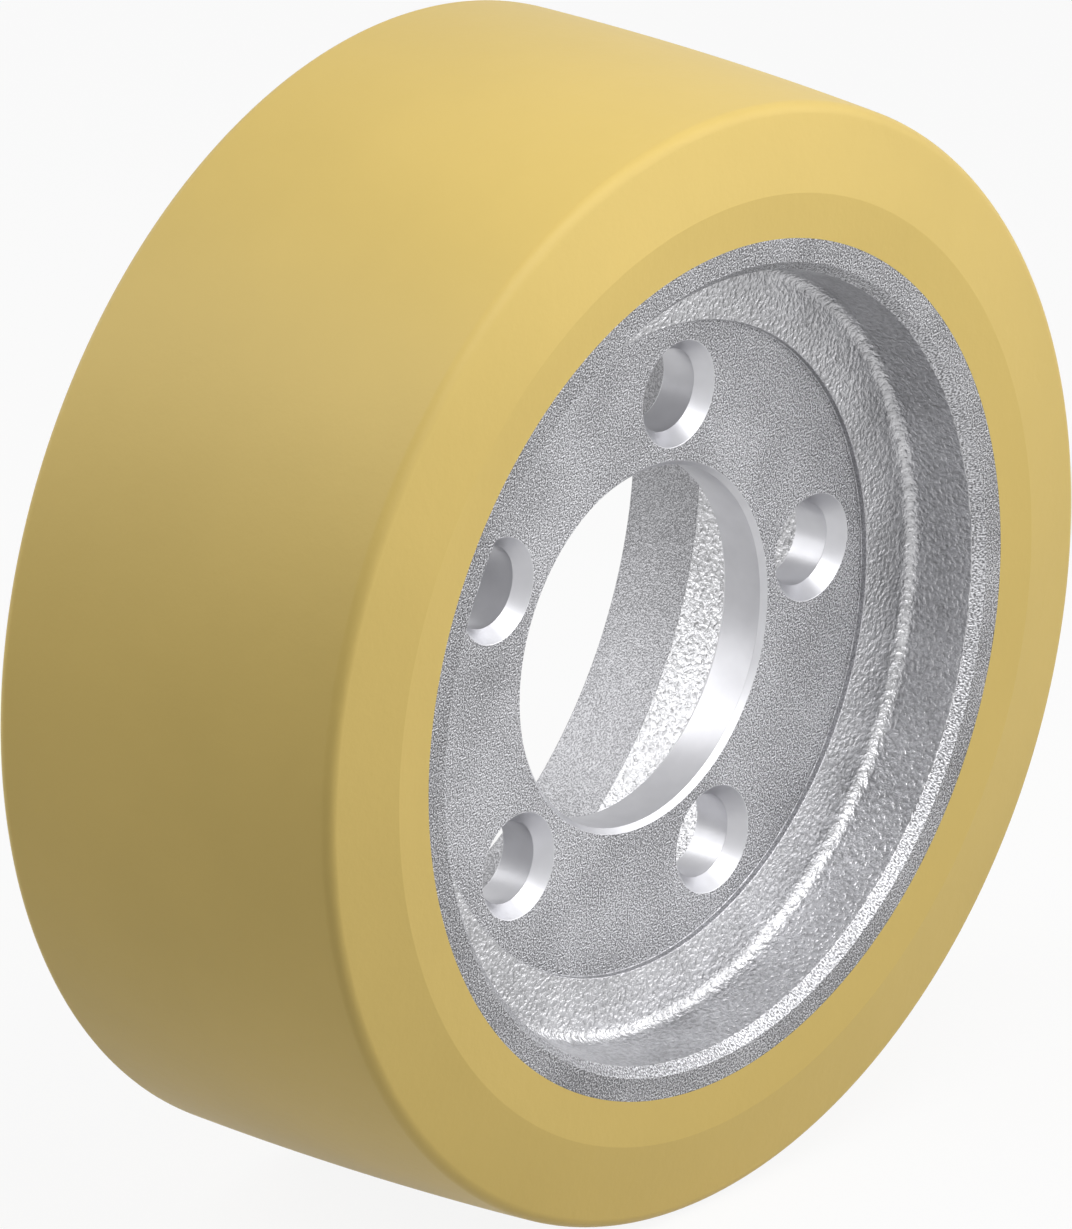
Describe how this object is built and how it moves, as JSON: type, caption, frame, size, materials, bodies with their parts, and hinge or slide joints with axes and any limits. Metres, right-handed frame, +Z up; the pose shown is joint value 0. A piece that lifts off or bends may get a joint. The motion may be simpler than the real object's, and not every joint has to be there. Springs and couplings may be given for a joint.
{
  "type": "drive wheel",
  "caption": "Bolt-on drive wheel: a recessed iron wheel centre with a pilot bore and coned stud holes, inside a wide crowned tread.",
  "frame": {"origin": "the wheel's middle, on its axle line and halfway across its width", "axes": "+Y along the axle, from the outer side with the nut seats towards the drive; +Z up, as the wheel runs"},
  "size_m": [0.25, 0.1, 0.25],
  "materials": {
    "cast_iron": "satin",
    "polyurethane": "satin"
  },
  "bodies": {
    "root": {"wheel_centre": "cast_iron", "tread": "polyurethane"}
  },
  "joints": []
}
